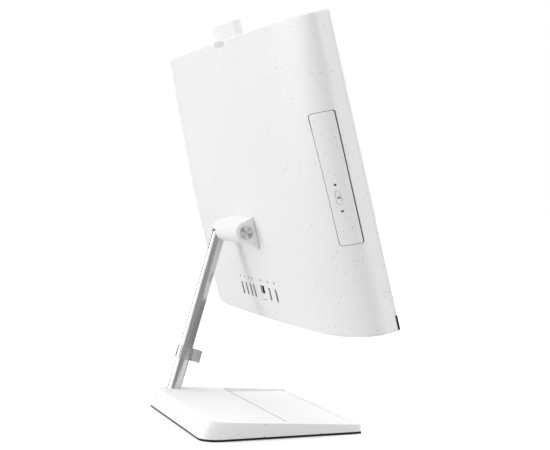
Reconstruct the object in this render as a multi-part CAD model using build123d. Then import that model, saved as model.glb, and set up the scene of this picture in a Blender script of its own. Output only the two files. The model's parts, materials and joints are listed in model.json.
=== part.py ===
from build123d import *
import math
import os

os.makedirs("parts", exist_ok=True)

# An all-in-one computer: a slim tapered display body on a leaning tube with a wedge-shaped base.
# Millimetres. +Z is up, the screen faces -Y, and the user's right is +X.
# The origin is on the table, below the middle of the whole machine.

# ---------------------------------------------------------------- driving dimensions

WIDTH = 541.0            # display body, side to side
HEIGHT = 315.0           # display body, measured up the screen
TILT = 13.6              # the screen leans back this many degrees as it stands
HEAD_Y = -87.7           # lower front edge of the display body
HEAD_Z = 113.4
SIDE_WALL = 12.5         # straight part of the body's side, behind the screen
SHOULDER = 110.5         # run of each curved shoulder, across the body
BOW = 2.8                # the middle of the back stands this far proud of the shoulders
DEPTH_LOW = 52.7         # body depth at the bottom edge
DEPTH_HINGE = 53.4       # body depth at the height HINGE_REF
HINGE_REF = 90.0
DEPTH_TOP = 40.1         # body depth at the top edge
WALL = 2.4               # moulded shell wall
RIM = 2.3                # depth of the front frame's rim
CHIN = 15.4              # height of the speaker bar below the screen

SCREEN_W = 530.0         # 23.8 inch panel with its border
SCREEN_H = 294.0
SIDE_BEZEL = 5.0
TOP_BEZEL = 4.0

HINGE_N = 64.0           # tilt axis: distance behind the screen plane
HINGE_V = 105.0          # tilt axis: distance up the screen
HINGE_R = 12.0           # rounded back of the hinge cover
HINGE_NEAR = -45.5       # ends of the hinge cover
HINGE_FAR = 57.5
ROOT_FAR = 33.0          # where the far end of the cover leaves the shell
ROOT_TOP = 120.0
ROOT_LOW = 94.5
CHEEK_LOW = 83.0         # the near end flares further down than the rest
SEAT_GAP = 0.1           # the hinge cover sits this far off the curved shell
BARREL_GAP = 1.1         # gap between its far end and the shell
POCKET_GAP = 0.9         # room round the tube in the hinge cover's slot
BRACKET_N = (45.4, 47.4)  # steel plate inside the shell that carries the hinge
AXLE_R = 4.0
RUNNING_GAP = 0.05       # radial clearance of every shaft in its bore
TILT_BACK = 6.4          # further travel backwards from the pose modelled
TILT_UP = 18.6           # travel forwards from the pose modelled

TUBE_X = 46.9
TUBE_Y = 58.2            # where the tube's axis meets the base's upper face
TUBE_R = 7.6
TUBE_WALL = 1.6
TUBE_CUT = 4.5           # the tube stops this far below the tilt axis
KNUCKLE_R = 8.8          # barrel at the top of the tube
TUBE_LEAN = 16.9

BASE_NEAR = -189.6       # base plate, side to side
BASE_FAR = 61.3
BASE_BACK_TOP = 78.3
BASE_BACK_LOW = 87.7
BASE_FRONT = -80.7
BASE_Z_BACK = 20.6       # height of the upper face at its back and front edges
BASE_Z_FRONT = 10.0
BASE_CORNER = 20.0       # round corners of the plan, back and front
BASE_FRONT_CORNER = 6.0
BASE_STEP = -3.5         # back edge of the tray pressed into the base
TRAY_BORDER = 8.0
TRAY_FRONT_BORDER = 5.0
TRAY_STEP_DROP = 4.0
TRAY_FRONT_DROP = 1.8
FOOT_H = 2.5             # rubber frame underneath
PAN_H = 1.6              # steel closing plate

DRIVE_N = (17.0, 34.0)   # opening of the disc drive, front to back
DRIVE_V = (92.0, 221.0)  # and up the side
DRIVE_CASE_N = (18.4, 30.2)
DRIVE_CASE_U = (-247.5, -120.5)
DRIVE_MID_U = -184.0     # disc centre
DRIVE_MID_V = 156.5
BEZEL_BACK = DRIVE_CASE_U[0] + 1.8
BEZEL_BACK_N = (20.2, 29.0)
SLED_RAIL = 6.0          # rails of the laser carriage, each side of the centre

CAMERA_W = 84.5
CAMERA_N = (15.0, 23.8)
CAMERA_RISE = 18.5
CAMERA_HIDDEN = 23.5
SCOOP_DEPTH = 6.5
SCOOP_U = (-44.0, -8.0)   # the finger scoop lies behind one half of the camera

PORT_V = (24.6, 39.6)
PORT_MID_V = (PORT_V[0] + PORT_V[1]) / 2
BOARD_N = (34.4, 36.0)
USB_U = (60.0, 43.0, 26.0, 13.0)
LAN_U = -20.0
HDMI_U = -44.6
POWER_U = -66.7
MARK_V = 46.2            # printed marks above the sockets

# ---------------------------------------------------------------- worked out from the above

HALF = WIDTH / 2
FLAT_HALF = HALF - SHOULDER
SCREEN_LOW = CHIN + 1.5
TUBE_DIR = Vector(0, -math.sin(math.radians(TUBE_LEAN)), math.cos(math.radians(TUBE_LEAN)))
TUBE_FOOT = Vector(TUBE_X, TUBE_Y, BASE_Z_BACK - 1.3)


def block(x, y, z):
    """A box from three (low, high) pairs."""
    size = [pair[1] - pair[0] for pair in (x, y, z)]
    middle = [(pair[0] + pair[1]) / 2 for pair in (x, y, z)]
    return Pos(*middle) * Box(*size)


def rod(start, end, radius):
    """A cylinder between two points."""
    run = Vector(*end) - Vector(*start)
    plane = Plane(origin=start, z_dir=run)
    return extrude(plane * Circle(radius), run.length)


def slab(outline, plane, thickness):
    """A flat outline, drawn on a plane and given a thickness along its normal."""
    return extrude(plane * outline, thickness)


def place(part):
    """Moves a piece modelled upright, with the screen plane at Y = 0, into the leaning body."""
    return Pos(0, HEAD_Y, HEAD_Z) * Rot(-TILT, 0, 0) * part


def save(part, name):
    export_step(part, f"parts/{name}.step")


# ---------------------------------------------------------------- display shell

def body_depth(height):
    """Depth of the body behind the screen plane: a parabola through the three stated depths."""
    a = ((DEPTH_TOP - DEPTH_LOW) / HEIGHT - (DEPTH_HINGE - DEPTH_LOW) / HINGE_REF) / (HEIGHT - HINGE_REF)
    b = (DEPTH_HINGE - DEPTH_LOW) / HINGE_REF - a * HINGE_REF
    return a * height ** 2 + b * height + DEPTH_LOW


def back_depth(u, height):
    """Depth of the bowed back at a distance from its middle."""
    return body_depth(height) - BOW * (u / FLAT_HALF) ** 2


def body_section(height, inset, front):
    """Level section: flat front, straight sides, elliptic shoulders and a slightly bowed middle."""
    half = HALF - inset
    depth = body_depth(height) - inset
    rise = depth - BOW - SIDE_WALL
    front_line = Polyline((-half, SIDE_WALL), (-half, front), (half, front), (half, SIDE_WALL))
    right = EllipticalCenterArc((FLAT_HALF, SIDE_WALL), SHOULDER - inset, rise, 0, arc_size=90)
    back = ThreePointArc((FLAT_HALF, depth - BOW), (0, depth), (-FLAT_HALF, depth - BOW))
    left = EllipticalCenterArc((-FLAT_HALF, SIDE_WALL), SHOULDER - inset, rise, 90, arc_size=90)
    outline = front_line + right + back + left
    return Pos(0, 0, height) * make_face(outline.edges())


def body_volume(inset, front, low, high):
    """The body's volume between two heights, drawn in by inset."""
    levels = [low + (high - low) * step / 4 for step in range(5)]
    return loft([body_section(level, inset, front) for level in levels])


def outer_body():
    """The outside of the whole body, with its corners and rear edges eased."""
    body = body_volume(0, 0, 0, HEIGHT)
    rims = body.edges().filter_by_position(Axis.Z, HEIGHT, HEIGHT)
    rims += body.edges().filter_by_position(Axis.Z, 0, 0)
    rims = rims.filter_by(lambda edge: edge.center().Y > 1)
    return fillet(rims, 2.6)


def upper_slots():
    """Openings in the top of the shell: the camera's slot and the finger scoop behind it."""
    slot = block((-CAMERA_W / 2 - 0.5, CAMERA_W / 2 + 0.5),
                 (CAMERA_N[0] - 0.5, CAMERA_N[1] + 0.5), (HEIGHT - 20, HEIGHT + 5))
    scoop = block(SCOOP_U, (CAMERA_N[1] - 1, 60),
                  (HEIGHT - SCOOP_DEPTH, HEIGHT + 5))
    scoop = fillet(scoop.edges().filter_by(Axis.Y).group_by(Axis.Z)[0], 2.5)
    return slot + scoop


def scoop_walls():
    """The floor and end walls that close the finger scoop."""
    tub = block((SCOOP_U[0] - WALL, SCOOP_U[1] + WALL), (CAMERA_N[1] + 0.5, 60),
                (HEIGHT - SCOOP_DEPTH - WALL, HEIGHT - 0.5))
    return tub & outer_body()


def port_opening(u, v_pair, width):
    """A mouth with small round corners through the back wall."""
    middle = (v_pair[0] + v_pair[1]) / 2
    height = v_pair[1] - v_pair[0]
    outline = Pos(u, middle) * RectangleRounded(width, height, 0.8)
    plane = Plane(origin=(0, 30, 0), x_dir=(1, 0, 0), z_dir=(0, -1, 0))
    return extrude(plane * outline, -40)


def port_openings():
    mouths = [port_opening(u, PORT_V, 6.4) for u in USB_U]
    mouths.append(port_opening(LAN_U, (23.6, 40.6), 14.4))
    mouths.append(port_opening(HDMI_U, PORT_V, 5.9))
    mouths.append(port_opening(POWER_U, PORT_V, 5.8))
    return mouths


def vent_slots():
    """Cooling slots in the bottom face: intake on one side, outlet on the other."""
    slots = []
    for middle in (-150, 160):
        for step in range(12):
            u = middle + (step - 5.5) * 6.5
            slots.append(block((u - 1.5, u + 1.5), (18, 36), (-3, 6)))
    return slots


def make_back_cover():
    shell = outer_body()
    shell -= block((-300, 300), (-5, RIM + 0.15), (-5, HEIGHT + 5))
    shell -= body_volume(WALL, -1, WALL, HEIGHT - WALL)
    shell += scoop_walls()
    shell -= upper_slots()
    shell -= drive_opening(0.45, 1.8)
    for cut in port_openings() + vent_slots():
        shell -= cut
    shell -= block((HINGE_NEAR + 6, ROOT_FAR - 5), (40, 60), (ROOT_LOW + 2, ROOT_TOP - 5))
    shell -= power_button_bore()
    for mark in make_port_marks():
        shell -= mark
    shell -= lan_door_pin(8.4, 0.5 + RUNNING_GAP)
    for u in COVER_SCREWS_U:
        shell -= rod((u, 30, -1), (u, 30, 8), 1.7)
        shell -= rod((u, 30, -1), (u, 30, 1.2), 3.2)
    return shell


def drive_opening(gap, front_gap):
    """Opening for the disc drive's bezel in the near shoulder."""
    n_low = DRIVE_N[0] - front_gap + gap
    plane = Plane(origin=(-300, 0, 0), x_dir=(0, 1, 0), z_dir=(1, 0, 0))
    width = DRIVE_N[1] - n_low + gap
    height = DRIVE_V[1] - DRIVE_V[0] + 2 * gap
    outline = Pos((DRIVE_N[1] + gap + n_low) / 2, sum(DRIVE_V) / 2) * RectangleRounded(width, height, 2.6)
    return slab(outline, plane, 68)


# ---------------------------------------------------------------- front of the display

def make_front_frame():
    """The white frame round the screen, with the lip that the shell snaps over."""
    body = outer_body()
    rim = body & block((-300, 300), (0, RIM), (CHIN + 0.3, HEIGHT + 1))
    lip = body_volume(WALL + 0.3, 0, WALL + 0.3, HEIGHT - WALL - 0.3) & block(
        (-300, 300), (RIM, 9.0), (CHIN + 0.3, HEIGHT))
    frame = rim + lip
    frame -= block((-SCREEN_W / 2 - 0.3, SCREEN_W / 2 + 0.3), (-1, 20),
                   (SCREEN_LOW - 0.3, SCREEN_LOW + SCREEN_H + 0.3))
    frame -= block((-SCREEN_W / 2 - 2, SCREEN_W / 2 + 2), (2.0, 20), (SCREEN_LOW - 5, HEIGHT - 5))
    return frame


def make_screen_glass():
    """The panel's glass, set just behind the frame's face."""
    return block((-SCREEN_W / 2, SCREEN_W / 2), (0.4, 1.7), (SCREEN_LOW, SCREEN_LOW + SCREEN_H))


def make_backlight():
    """Light guide, film stack and tray of the panel, with the driver strip along the bottom."""
    guide = block((-SCREEN_W / 2, SCREEN_W / 2), (1.8, 6.6), (SCREEN_LOW, SCREEN_LOW + SCREEN_H))
    strip = block((-180, 180), (6.6, 8.2), (SCREEN_LOW + 2, SCREEN_LOW + 14))
    return guide + strip


def make_mid_frame():
    """Pressed steel frame that everything inside is screwed to."""
    plate = block((-255, 255), (8.6, 9.8), (CHIN + 22, HEIGHT - 26))
    plate -= block((-CAMERA_W / 2 - 8, CAMERA_W / 2 + 8), (5, 15), (HEIGHT - 50, HEIGHT))
    for u in (-205, -60, 60, 205):
        for v in (75, 165, 240):
            plate -= block((u - 25, u + 25), (5, 15), (v - 22, v + 22))
    for u in (-255, 253.8):
        plate += block((u, u + 1.2), (9.8, 14), (60, 270))
    return plate


def make_chin_bar():
    """The black speaker bar under the screen, with its end caps."""
    bar = block((-HALF, HALF), (0, RIM), (0.7, CHIN))
    corners = bar.edges().filter_by(Axis.Y).group_by(Axis.Z)[0]
    bar = fillet(corners, 2.0)
    web = block((-HALF + 4, HALF - 4), (RIM, 3.4), (3.2, CHIN - 1.0))
    bar += web
    for side in (-1, 1):
        for step in range(24):
            u = side * (120 + step * 4)
            bar -= block((u - 1, u + 1), (0.6, 5), (5.5, 11.5))
    return bar


def make_speaker(side):
    """A long slim loudspeaker box behind the bar, with its cone."""
    middle = side * 166
    box = block((middle - 34, middle + 34), (3.7, 17.0), (3.2, 13.8))
    box = fillet(box.edges().filter_by(Axis.Z), 2.0)
    cone = block((middle - 20, middle + 20), (3.7, 4.9), (5.2, 11.8))
    box -= cone
    box += block((middle - 17, middle + 17), (4.1, 4.9), (6.2, 10.8))
    return box


# ---------------------------------------------------------------- tilt hinge

def cover_face(n_low, n_top, low, top, far):
    """A four-sided face across the hinge cover, leaning from one depth to another."""
    corners = [(HINGE_NEAR, n_low, low), (far, n_low, low), (far, n_top, top), (HINGE_NEAR, n_top, top)]
    return Face(Wire.make_polygon([Vector(*corner) for corner in corners], close=True))


def make_hinge_cover():
    """Rounded cover over the tilt axle, flaring to its root on the shell."""
    barrel = rod((HINGE_NEAR, HINGE_N, HINGE_V), (HINGE_FAR, HINGE_N, HINGE_V), HINGE_R)
    barrel = fillet(barrel.edges().sort_by(Axis.X)[-1], 4.5)
    barrel -= block((HINGE_NEAR - 1, HINGE_FAR + 1), (45, body_depth(HINGE_V) + BARREL_GAP),
                    (HINGE_V - 15, HINGE_V + 15))
    root = cover_face(body_depth(ROOT_LOW) + SEAT_GAP, body_depth(ROOT_TOP) + SEAT_GAP,
                      ROOT_LOW, ROOT_TOP, ROOT_FAR)
    crown = cover_face(HINGE_N, HINGE_N, HINGE_V - HINGE_R + 0.2, HINGE_V + HINGE_R - 0.2, HINGE_FAR - 4.5)
    cheek_root = cover_face(body_depth(CHEEK_LOW) + SEAT_GAP, body_depth(HINGE_V) + SEAT_GAP,
                            CHEEK_LOW, HINGE_V, HINGE_NEAR + 13)
    cheek_crown = cover_face(HINGE_N, HINGE_N, HINGE_V - HINGE_R + 0.3, HINGE_V, HINGE_NEAR + 6)
    cover = barrel + loft([root, crown], ruled=True) + loft([cheek_root, cheek_crown], ruled=True)
    cover -= rod((HINGE_NEAR + 2.6, HINGE_N, HINGE_V), (HINGE_FAR - 1.8, HINGE_N, HINGE_V), HINGE_R - 2.0)
    cover -= block((HINGE_NEAR + 5, ROOT_FAR - 4), (45, HINGE_N), (ROOT_LOW + 2.5, ROOT_TOP - 5))
    cover -= rod((HINGE_NEAR - 1, HINGE_N, HINGE_V), (HINGE_NEAR + 1.2, HINGE_N, HINGE_V), 7.6)
    return cover - tube_pocket()


def beside_tube(offset, down, turn):
    """A point in the body's depth and height: off the tube's line, and down it, from the tilt axis."""
    return (offset * math.cos(turn) + down * math.sin(turn),
            offset * math.sin(turn) - down * math.cos(turn))


def tube_pocket():
    """The slot that the tube sweeps through as the display tilts, in the body's own frame."""
    rest = math.radians(TUBE_LEAN + TILT)
    forward = rest - math.radians(TILT_UP + 1)
    back = rest + math.radians(TILT_BACK + 0.5)
    offset = (TUBE_TOP.Y - HINGE.Y) * math.cos(math.radians(TUBE_LEAN))
    front_side = offset - TUBE_R - POCKET_GAP
    rear_side = offset + TUBE_R + POCKET_GAP
    reach = 45
    points = [
        beside_tube(front_side, 0, forward),
        beside_tube(front_side, reach, forward),
        beside_tube(rear_side, reach, back),
        beside_tube(rear_side, TUBE_CUT - POCKET_GAP, back),
    ]
    profile = make_face(Polyline(*points, close=True).edges())
    plane = Plane(origin=(TUBE_X - TUBE_R - POCKET_GAP, HINGE_N, HINGE_V), x_dir=(0, 1, 0), z_dir=(1, 0, 0))
    return extrude(plane * profile, 2 * (TUBE_R + POCKET_GAP))


def make_hinge_bracket():
    """Steel bracket inside the shell, with two knuckles that hold the axle."""
    plate = block((-62, 40), BRACKET_N, (72, 152))
    strap = block((-118, 118), BRACKET_N, (128, 152))
    bracket = plate + strap
    for side in (-1, 1):
        leg_u = sorted((side * 118, side * 116))
        foot_u = sorted((side * 118, side * 104))
        bracket += block(leg_u, (9.8, BRACKET_N[0]), (128, 152))
        bracket += block(foot_u, (9.8, 11.8), (128, 152))
    for u in (-33, 18):
        lug = block((u, u + 6), (BRACKET_N[0], HINGE_N), (HINGE_V - 7, HINGE_V + 7))
        lug += rod((u, HINGE_N, HINGE_V), (u + 6, HINGE_N, HINGE_V), 7.0)
        bracket += lug
    bore_low = (-40, HINGE_N, HINGE_V)
    bore_high = (40, HINGE_N, HINGE_V)
    bracket -= rod(bore_low, bore_high, AXLE_R + RUNNING_GAP)
    return bracket


def make_hinge_cap():
    """Round metal cap set in the near end of the hinge cover."""
    cap = rod((HINGE_NEAR - 0.3, HINGE_N, HINGE_V), (HINGE_NEAR + 1.2, HINGE_N, HINGE_V), 7.4)
    return chamfer(cap.edges().sort_by(Axis.X)[0], 0.3)


# ---------------------------------------------------------------- stand

def hinge_point():
    """The tilt axis where it crosses X = 0, in the standing machine."""
    c = math.cos(math.radians(TILT))
    s = math.sin(math.radians(TILT))
    return Vector(0, HEAD_Y + HINGE_V * s + HINGE_N * c, HEAD_Z + HINGE_V * c - HINGE_N * s)


HINGE = hinge_point()
TUBE_RUN = (HINGE - TUBE_FOOT).dot(TUBE_DIR)
TUBE_TOP = TUBE_FOOT + TUBE_DIR * TUBE_RUN


def make_stand_tube():
    """The leaning tube, cut square below the tilt axis and notched round the knuckle's barrel."""
    low = TUBE_FOOT - TUBE_DIR * 10
    high = TUBE_TOP - TUBE_DIR * TUBE_CUT
    tube = rod(low, high, TUBE_R) - rod(low - TUBE_DIR, high + TUBE_DIR, TUBE_R - TUBE_WALL)
    return tube - rod((TUBE_X - 20, HINGE.Y, HINGE.Z), (TUBE_X + 20, HINGE.Y, HINGE.Z), KNUCKLE_R + 0.05)


def make_stand_knuckle():
    """Cast barrel on the tube's top that carries the axle, with a spigot down the tube."""
    knuckle = rod((TUBE_X - TUBE_R, HINGE.Y, HINGE.Z), (TUBE_X + TUBE_R, HINGE.Y, HINGE.Z), KNUCKLE_R)
    knuckle += rod(TUBE_TOP - TUBE_DIR * 40, TUBE_TOP - TUBE_DIR * TUBE_CUT, TUBE_R - TUBE_WALL - 0.05)
    return knuckle - rod((0, HINGE.Y, HINGE.Z), (TUBE_X + 5, HINGE.Y, HINGE.Z), AXLE_R)


def make_hinge_axle():
    """Steel axle with a shouldered end and a retaining head."""
    axle = rod((-38.5, HINGE.Y, HINGE.Z), (TUBE_X + 5, HINGE.Y, HINGE.Z), AXLE_R)
    axle += rod((-38.5, HINGE.Y, HINGE.Z), (-35.0, HINGE.Y, HINGE.Z), 6.0)
    axle += rod((26.0, HINGE.Y, HINGE.Z), (30.0, HINGE.Y, HINGE.Z), 6.0)
    return axle


def base_top(y):
    """Height of the base's sloping upper face."""
    slope = (BASE_Z_BACK - BASE_Z_FRONT) / (BASE_BACK_TOP - BASE_FRONT)
    return BASE_Z_BACK - slope * (BASE_BACK_TOP - y)


def base_volume(inset):
    """The wedge of the base: level underneath, sloping on top, with a raked back and round corners."""
    profile = Polyline((BASE_FRONT + inset, FOOT_H), (BASE_BACK_LOW - inset, FOOT_H),
                       (BASE_BACK_TOP - inset, BASE_Z_BACK - inset),
                       (BASE_FRONT + inset, BASE_Z_FRONT - inset), close=True)
    plane = Plane(origin=(BASE_NEAR + inset, 0, 0), x_dir=(0, 1, 0), z_dir=(1, 0, 0))
    wedge = extrude(plane * make_face(profile.edges()), BASE_FAR - BASE_NEAR - 2 * inset)
    upright = wedge.edges().filter_by(lambda edge: abs(edge.tangent_at(0.5).Z) > 0.5)
    wedge = fillet(upright.filter_by(lambda edge: edge.center().Y > 0), BASE_CORNER - inset)
    upright = wedge.edges().filter_by(lambda edge: abs(edge.tangent_at(0.5).Z) > 0.99)
    return fillet(upright.filter_by(lambda edge: edge.center().Y < 0), BASE_FRONT_CORNER - inset)


def base_outline(inset):
    """Plan of the base's lower edge."""
    plan = Rectangle(BASE_FAR - BASE_NEAR - 2 * inset, BASE_BACK_LOW - BASE_FRONT - 2 * inset)
    plan = fillet(plan.vertices().sort_by(Axis.Y)[2:], BASE_CORNER - inset)
    return Pos((BASE_NEAR + BASE_FAR) / 2, (BASE_FRONT + BASE_BACK_LOW) / 2) * plan


def make_base_cover():
    """Moulded upper shell of the base, with the shallow tray pressed into its front."""
    outer = base_volume(0)
    top_rim = outer.edges().filter_by(lambda edge: edge.center().Z > BASE_Z_FRONT - 1)
    top_rim = top_rim.filter_by(lambda edge: abs(edge.center().Z - base_top(edge.center().Y)) < 0.6)
    outer = fillet(top_rim, 1.2)
    tray = tray_volume(0, 30)
    cover = outer - tray
    step = cover.edges().filter_by(Axis.X).filter_by(
        lambda edge: abs(edge.center().Y - BASE_STEP) < 0.1 and edge.center().Z > base_top(BASE_STEP) - 1)
    cover = fillet(step, 0.8)
    hollow = base_volume(WALL) & block((-300, 300), (-200, 200), (0, 40))
    hollow -= tray_volume(-WALL, 30)
    cover -= hollow
    pan_top = FOOT_H + PAN_H + 0.1
    bosses = rod((TUBE_X - 1, TUBE_Y + 1, pan_top), (TUBE_X - 1, TUBE_Y + 1, BASE_Z_BACK), 14.0)
    for x, y in PAN_SCREWS:
        bosses += rod((x, y, pan_top), (x, y, BASE_Z_BACK), 4.0)
    cover += bosses & (base_volume(0.6) - tray_volume(0, 30))
    for x, y in PAN_SCREWS:
        cover -= rod((x, y, 0), (x, y, 7.2), 1.45)
    cover -= rod(TUBE_FOOT - TUBE_DIR * 40, TUBE_FOOT + TUBE_DIR * 20, TUBE_R + 0.05)
    cover -= block((-300, 300), (-200, 200), (0, pan_top)) & base_volume(WALL)
    return cover


def tray_volume(grow, height):
    """The pressed tray: its floor falls less steeply than the base's upper face."""
    back = BASE_STEP - grow
    front = BASE_FRONT + TRAY_FRONT_BORDER + grow
    z_back = base_top(BASE_STEP) - TRAY_STEP_DROP + min(grow, 0)
    z_front = base_top(BASE_FRONT + TRAY_FRONT_BORDER) - TRAY_FRONT_DROP + min(grow, 0)
    profile = Polyline((front, z_front), (back, z_back), (back, z_back + height),
                       (front, z_front + height), close=True)
    low_x = BASE_NEAR + TRAY_BORDER + grow
    high_x = BASE_FAR - TRAY_BORDER - grow
    plane = Plane(origin=(low_x, 0, 0), x_dir=(0, 1, 0), z_dir=(1, 0, 0))
    return extrude(plane * make_face(profile.edges()), high_x - low_x)


def make_base_pan():
    """Steel plate that closes the base from below."""
    pan = base_volume(WALL + 0.4) & block((-300, 300), (-200, 200), (FOOT_H, FOOT_H + PAN_H))
    for x, y in PAN_SCREWS:
        pan -= rod((x, y, 0), (x, y, 10), 1.8)
    return pan


def make_base_weight():
    """Steel slab that keeps the machine from tipping."""
    low = FOOT_H + PAN_H + 0.1
    weight = block((BASE_NEAR + 20, TUBE_X - 22), (4, 66), (low, low + 8))
    return fillet(weight.edges().filter_by(Axis.Z), 6)


def make_rubber_rim():
    """Rubber frame that the base stands on, set in a little from its edge."""
    return extrude(base_outline(1.2) - base_outline(7.7), FOOT_H)


def screw(position, direction, head_r, head_h, shank_r, length):
    """A countersunk screw with a cross recess, its head at the position."""
    way = Vector(*direction).normalized()
    start = Vector(*position)
    body = rod(start, start + way * head_h, head_r)
    body += rod(start, start + way * length, shank_r)
    plane = Plane(origin=start, z_dir=way)
    cross = Rectangle(head_r * 1.2, head_r * 0.3) + Rectangle(head_r * 0.3, head_r * 1.2)
    recess = extrude(plane * cross, head_h * 0.6)
    return body - recess


PAN_SCREWS = ((BASE_NEAR + 15, 68), (BASE_FAR - 17, 74.5), (BASE_NEAR + 15, -66), (BASE_FAR - 15, -66))
COVER_SCREWS_U = (-225, -95, 95, 225)


def make_pan_screws():
    return Compound(children=[
        screw((x, y, FOOT_H - 1.2), (0, 0, 1), 3.0, 1.2, 1.4, 5.0) for x, y in PAN_SCREWS])


def make_cover_screws():
    screws = [screw((u, 30, 0.1), (0, 0, 1), 3.0, 1.1, 1.4, 10.0) for u in COVER_SCREWS_U]
    return Compound(children=[place(item) for item in screws])


def make_cable_clip():
    """Springy collar on the tube with a square loop for cables in front of it."""
    along = 42.0
    middle = TUBE_FOOT + TUBE_DIR * along
    plane = Plane(origin=middle - TUBE_DIR * 7.0, x_dir=(1, 0, 0), z_dir=TUBE_DIR)
    inner = TUBE_R + RUNNING_GAP
    collar = extrude(plane * (Circle(inner + 2.0) - Circle(inner)), 14.0)
    loop_outer = Pos(0, -12.0) * RectangleRounded(17.0, 13.0, 2.0)
    loop_inner = Pos(0, -12.2) * RectangleRounded(13.6, 9.6, 1.0)
    slit = Pos(4.6, -18.0) * Rectangle(2.6, 4.0)
    loop = extrude(plane * (loop_outer - loop_inner - slit), 14.0)
    bore = rod(middle - TUBE_DIR * 20, middle + TUBE_DIR * 20, inner)
    return (collar + loop) - bore


# ---------------------------------------------------------------- camera

def make_camera_body():
    """Sliding camera housing, raised above the top edge, open in front behind its window."""
    top = HEIGHT + CAMERA_RISE
    low = HEIGHT - CAMERA_HIDDEN
    shell = block((-CAMERA_W / 2, CAMERA_W / 2), CAMERA_N, (low, top))
    shell = fillet(shell.edges().filter_by(Axis.Y), 1.2)
    shell = fillet(shell.edges().filter_by(Axis.Z), 0.9)
    shell -= block((-34, 34), (CAMERA_N[0] - 1, CAMERA_N[0] + 1.2), (top - 16.0, top - 2.5))
    shell -= rod((0, CAMERA_N[0], top - 9.2), (0, CAMERA_N[0] + 6.0, top - 9.2), 5.0)
    return shell


def make_camera_window():
    """Dark glass strip over the camera."""
    top = HEIGHT + CAMERA_RISE
    return block((-33.8, 33.8), (CAMERA_N[0] + 0.1, CAMERA_N[0] + 1.1), (top - 15.8, top - 2.7))


def make_camera_lens():
    """Lens barrel behind the window."""
    v = HEIGHT + CAMERA_RISE - 9.2
    barrel = rod((0, CAMERA_N[0] + 1.3, v), (0, CAMERA_N[0] + 5.9, v), 4.8)
    return barrel - rod((0, CAMERA_N[0] + 1.2, v), (0, CAMERA_N[0] + 2.4, v), 2.6)


def make_camera_guide():
    """Moulded channel that the camera slides in."""
    low = HEIGHT - 44.5
    high = HEIGHT - SCOOP_DEPTH - WALL - 0.2
    guide = block((-CAMERA_W / 2 - 3, CAMERA_W / 2 + 3), (CAMERA_N[0] - 2.2, CAMERA_N[1] + 2.2), (low, high))
    guide -= block((-CAMERA_W / 2 - 0.4, CAMERA_W / 2 + 0.4), (CAMERA_N[0] - 0.4, CAMERA_N[1] + 0.4),
                   (low + 1.6, high + 1))
    guide -= block((-CAMERA_W / 2 + 8, CAMERA_W / 2 - 8), (CAMERA_N[0] - 5, CAMERA_N[1] + 5),
                   (low + 1.6, high - 3))
    return guide


# ---------------------------------------------------------------- disc drive

def drive_hole(v, n, radius):
    return rod((-300, n, v), (-240, n, v), radius)


def eject_outline(grow):
    return Pos(28.2, 138.5) * SlotOverall(12.8 + 2 * grow, 3.2 + 2 * grow, rotation=90)


def side_plane(u):
    return Plane(origin=(u, 0, 0), x_dir=(0, 1, 0), z_dir=(1, 0, 0))


def make_drive_bezel():
    """Curved front of the disc tray, flush with the shell's shoulder."""
    outline = Pos(sum(DRIVE_N) / 2, sum(DRIVE_V) / 2) * RectangleRounded(
        DRIVE_N[1] - DRIVE_N[0], DRIVE_V[1] - DRIVE_V[0], 2.2)
    prism = slab(outline, side_plane(-300), 66)
    skin = prism & (body_volume(0, 0, 60, 250) - body_volume(WALL, -1, 50, 260))
    ribs = []
    for v in (101, 156, 212):
        rib = block((-275, BEZEL_BACK), BEZEL_BACK_N, (v - 1.2, v + 1.2))
        ribs.append(rib & body_volume(WALL - 0.2, 0, 60, 250))
    bezel = skin + ribs[0] + ribs[1] + ribs[2]
    bezel += block((BEZEL_BACK - 1.6, BEZEL_BACK), BEZEL_BACK_N, (96, 217))
    bezel -= slab(eject_outline(0.35), side_plane(-300), 50)
    bezel -= drive_hole(151.0, 28.2, 1.2)
    bezel -= drive_hole(125.0, 27.6, 1.2)
    return bezel


def make_eject_button():
    """Oval push button in the bezel, with a flange behind it that keeps it in."""
    cap = slab(eject_outline(0), side_plane(-300), 50.4)
    cap = cap & body_volume(-0.25, 0, 60, 250)
    return cap + slab(eject_outline(0.9), side_plane(-249.8), 1.0)


def make_drive_led():
    """Light pipe beside the eject button."""
    pipe = slab(Pos(27.6, 125.0) * Circle(1.15), side_plane(-300), 46)
    return pipe & body_volume(0.3, 0, 60, 250)


def make_drive_case():
    """Sheet steel case of the slim disc drive, open at its outer end."""
    case = block(DRIVE_CASE_U, DRIVE_CASE_N, (DRIVE_V[0] + 0.5, DRIVE_V[1] - 0.5))
    case -= block((DRIVE_CASE_U[0] - 1, DRIVE_CASE_U[1] - 1), (DRIVE_CASE_N[0] + 0.8, DRIVE_CASE_N[1] - 0.8),
                  (DRIVE_V[0] + 1.5, DRIVE_V[1] - 1.5))
    return case


def make_drive_tray():
    """Sliding tray with the round recess for a disc, the motor pin and the carriage's rails."""
    u = DRIVE_MID_U
    v = DRIVE_MID_V
    tray = block((DRIVE_CASE_U[0] + 2.0, DRIVE_CASE_U[1] - 2.0), (20.4, 27.4), (v - 62.3, v + 62.3))
    tray -= rod((u, 24.6, v), (u, 30.0, v), 60.8)
    tray -= block((u - 9, u + 9), (19, 30), (v - 46, v - 14))
    tray -= rod((u, 21.4, v), (u, 30, v), 15.5)
    tray += rod((u, 21.0, v), (u, 24.0, v), 1.5)
    for side in (-1, 1):
        tray += rod((u + side * SLED_RAIL, 22.2, v - 47), (u + side * SLED_RAIL, 22.2, v - 14), 0.9)
    return tray


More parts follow.
